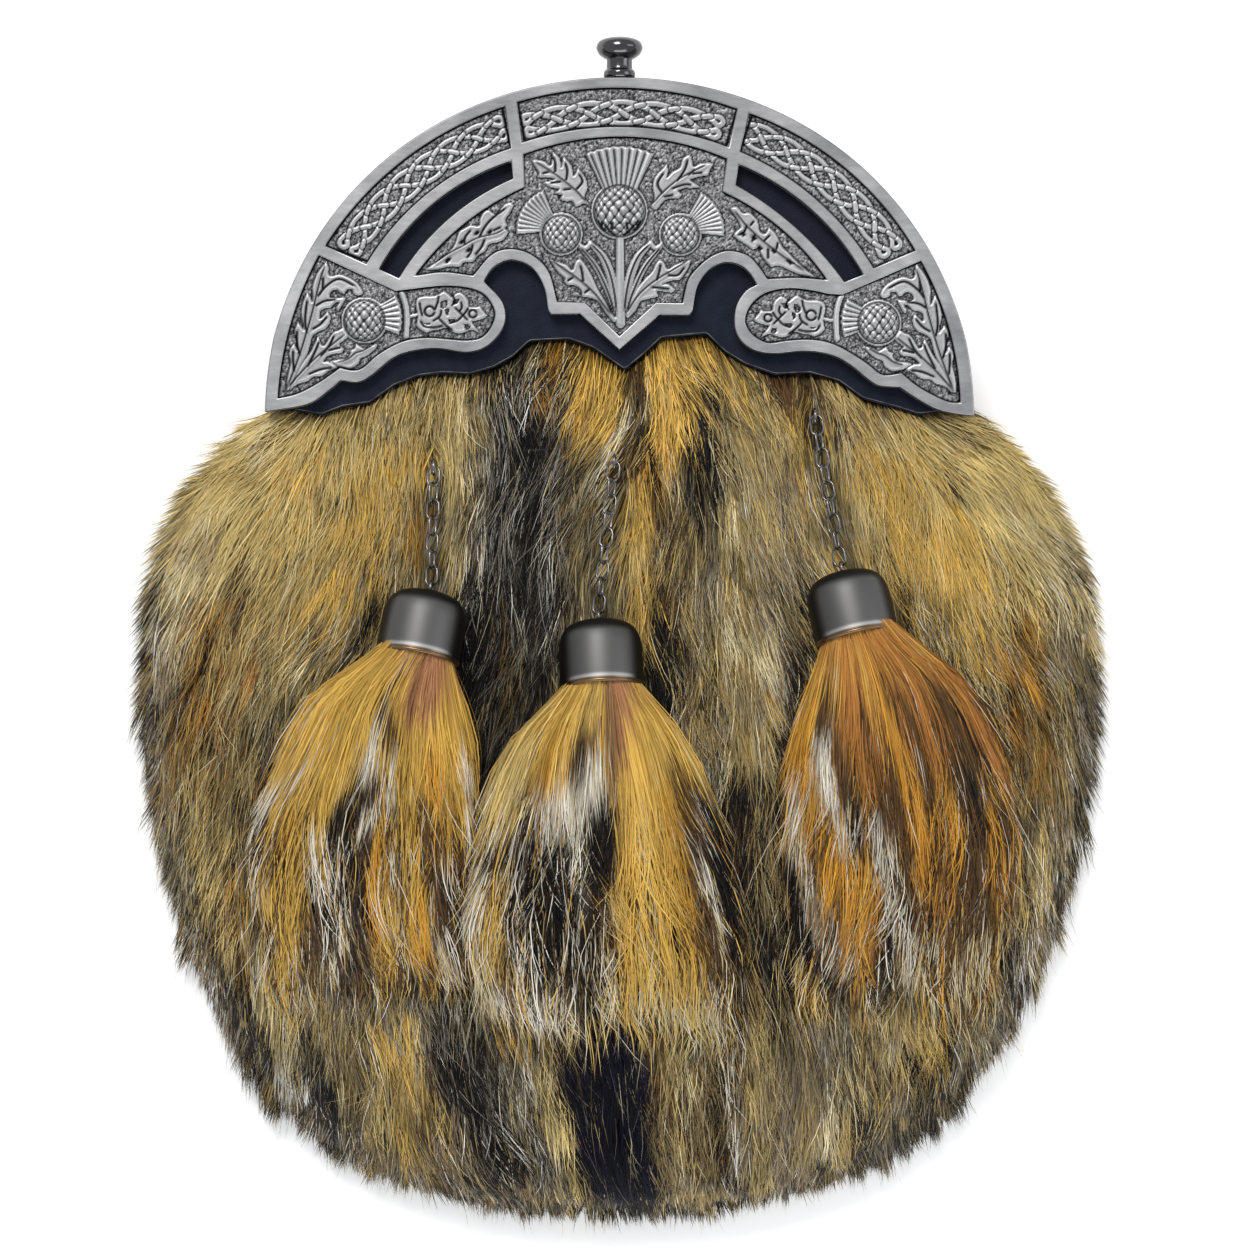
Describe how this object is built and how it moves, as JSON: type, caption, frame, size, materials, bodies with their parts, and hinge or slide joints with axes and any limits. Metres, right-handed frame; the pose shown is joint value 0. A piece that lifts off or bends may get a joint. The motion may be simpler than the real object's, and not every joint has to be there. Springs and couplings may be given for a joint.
{
  "type": "sporran pouch",
  "caption": "Full-dress sporran: half-round cast cantle with thistle and knotwork fields on a leather board, hollow leather pouch with long fur front, fur tassels on link chains.",
  "frame": {"origin": "on the surface the sporran lies on, under the middle of its bounding box", "axes": "+Z out of the front (up, as it lies on its back), +Y towards the knob, +X to the right seen from the front"},
  "size_m": [0.222, 0.2754, 0.0504],
  "materials": {
    "cantle_metal": "antiqued pewter: brushed rims, bright high relief, dark patina in the grooves",
    "gunmetal": "polished dark gunmetal plating",
    "board_leather": "smooth satin blue-black leather",
    "pouch_leather": "fine-grained black leather",
    "body_fur": "long agouti fur, sandy gold ticked with black and white",
    "tassel_fur": "long orange-gold fur with black and white locks"
  },
  "bodies": {
    "root": {"back_panel": "pouch_leather", "brush_centre": "tassel_fur", "brush_left": "tassel_fur", "brush_right": "tassel_fur", "cantle": "cantle_metal", "cantle_board": "board_leather", "cup_centre": "gunmetal", "cup_left": "gunmetal", "cup_right": "gunmetal", "front_panel": "pouch_leather", "fur_front": "body_fur", "fur_gusset": "body_fur", "gusset": "pouch_leather", "knob": "gunmetal", "link_centre_01": "gunmetal", "link_centre_02": "gunmetal", "link_centre_03": "gunmetal", "link_centre_04": "gunmetal", "link_centre_05": "gunmetal", "link_centre_06": "gunmetal", "link_centre_07": "gunmetal", "link_centre_08": "gunmetal", "link_centre_09": "gunmetal", "link_left_01": "gunmetal", "link_left_02": "gunmetal", "link_left_03": "gunmetal", "link_left_04": "gunmetal", "link_left_05": "gunmetal", "link_left_06": "gunmetal", "link_left_07": "gunmetal", "link_right_01": "gunmetal", "link_right_02": "gunmetal", "link_right_03": "gunmetal", "link_right_04": "gunmetal", "link_right_05": "gunmetal", "link_right_06": "gunmetal", "link_right_07": "gunmetal", "link_right_08": "gunmetal", "link_right_09": "gunmetal", "staple_centre": "gunmetal", "staple_left": "gunmetal", "staple_right": "gunmetal", "strap_keeper_left": "pouch_leather", "strap_keeper_right": "pouch_leather"}
  },
  "joints": []
}
